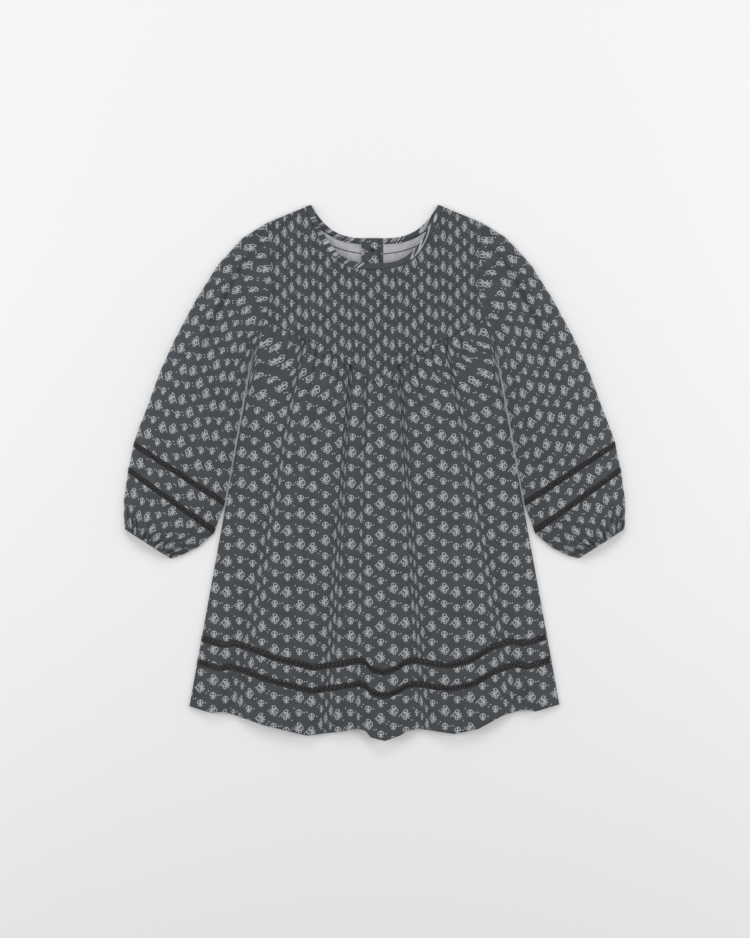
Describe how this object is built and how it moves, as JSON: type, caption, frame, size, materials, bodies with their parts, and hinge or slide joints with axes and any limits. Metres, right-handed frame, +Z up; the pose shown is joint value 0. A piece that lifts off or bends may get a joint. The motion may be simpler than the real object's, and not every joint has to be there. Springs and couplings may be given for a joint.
{
  "type": "puff sleeve mini dress",
  "caption": "Child's dress laid flat: shirred yoke pointed at the front, gathered skirt, puff sleeves with elastic cuffs, lace insertions above hem and cuffs, buttoned placket at the back neck",
  "frame": {"origin": "on the surface that the dress lies on, under the middle of its outline", "axes": "+X to the wearer's left as seen from above with the neck up the picture, +Y towards the neck, +Z up off the surface"},
  "size_m": [0.541, 0.5768, 0.0158],
  "materials": {
    "printed_cotton": "woven cotton, slate grey ground with a small pale printed sprig, matt with a faint sheen",
    "printed_cotton_shirred": "the same printed cotton drawn up in narrow puckers by rows of elastic thread",
    "cotton_wrong_side": "wrong side of the printed cotton, pale grey, with dark elastic rows",
    "lace": "narrow openwork cotton lace, charcoal, matt",
    "button": "small near-black button, satin"
  },
  "bodies": {
    "root": {"yoke_front": "printed_cotton_shirred", "yoke_back_left": "cotton_wrong_side", "yoke_back_right": "cotton_wrong_side", "placket_under": "printed_cotton", "placket_over": "printed_cotton", "neck_binding_front": "printed_cotton", "neck_binding_back_left": "printed_cotton", "neck_binding_back_right": "printed_cotton", "button": "button", "skirt_front": "printed_cotton", "skirt_front_lace_upper": "lace", "skirt_front_band": "printed_cotton", "skirt_front_lace_lower": "lace", "skirt_front_hem": "printed_cotton", "skirt_back": "printed_cotton", "skirt_back_lace_upper": "lace", "skirt_back_band": "printed_cotton", "skirt_back_lace_lower": "lace", "skirt_back_hem": "printed_cotton", "sleeve_left": "printed_cotton", "sleeve_left_lace_upper": "lace", "sleeve_left_band": "printed_cotton", "sleeve_left_lace_lower": "lace", "sleeve_left_puff": "printed_cotton", "sleeve_left_cuff": "printed_cotton", "sleeve_right": "printed_cotton", "sleeve_right_lace_upper": "lace", "sleeve_right_band": "printed_cotton", "sleeve_right_lace_lower": "lace", "sleeve_right_puff": "printed_cotton", "sleeve_right_cuff": "printed_cotton"}
  },
  "joints": []
}
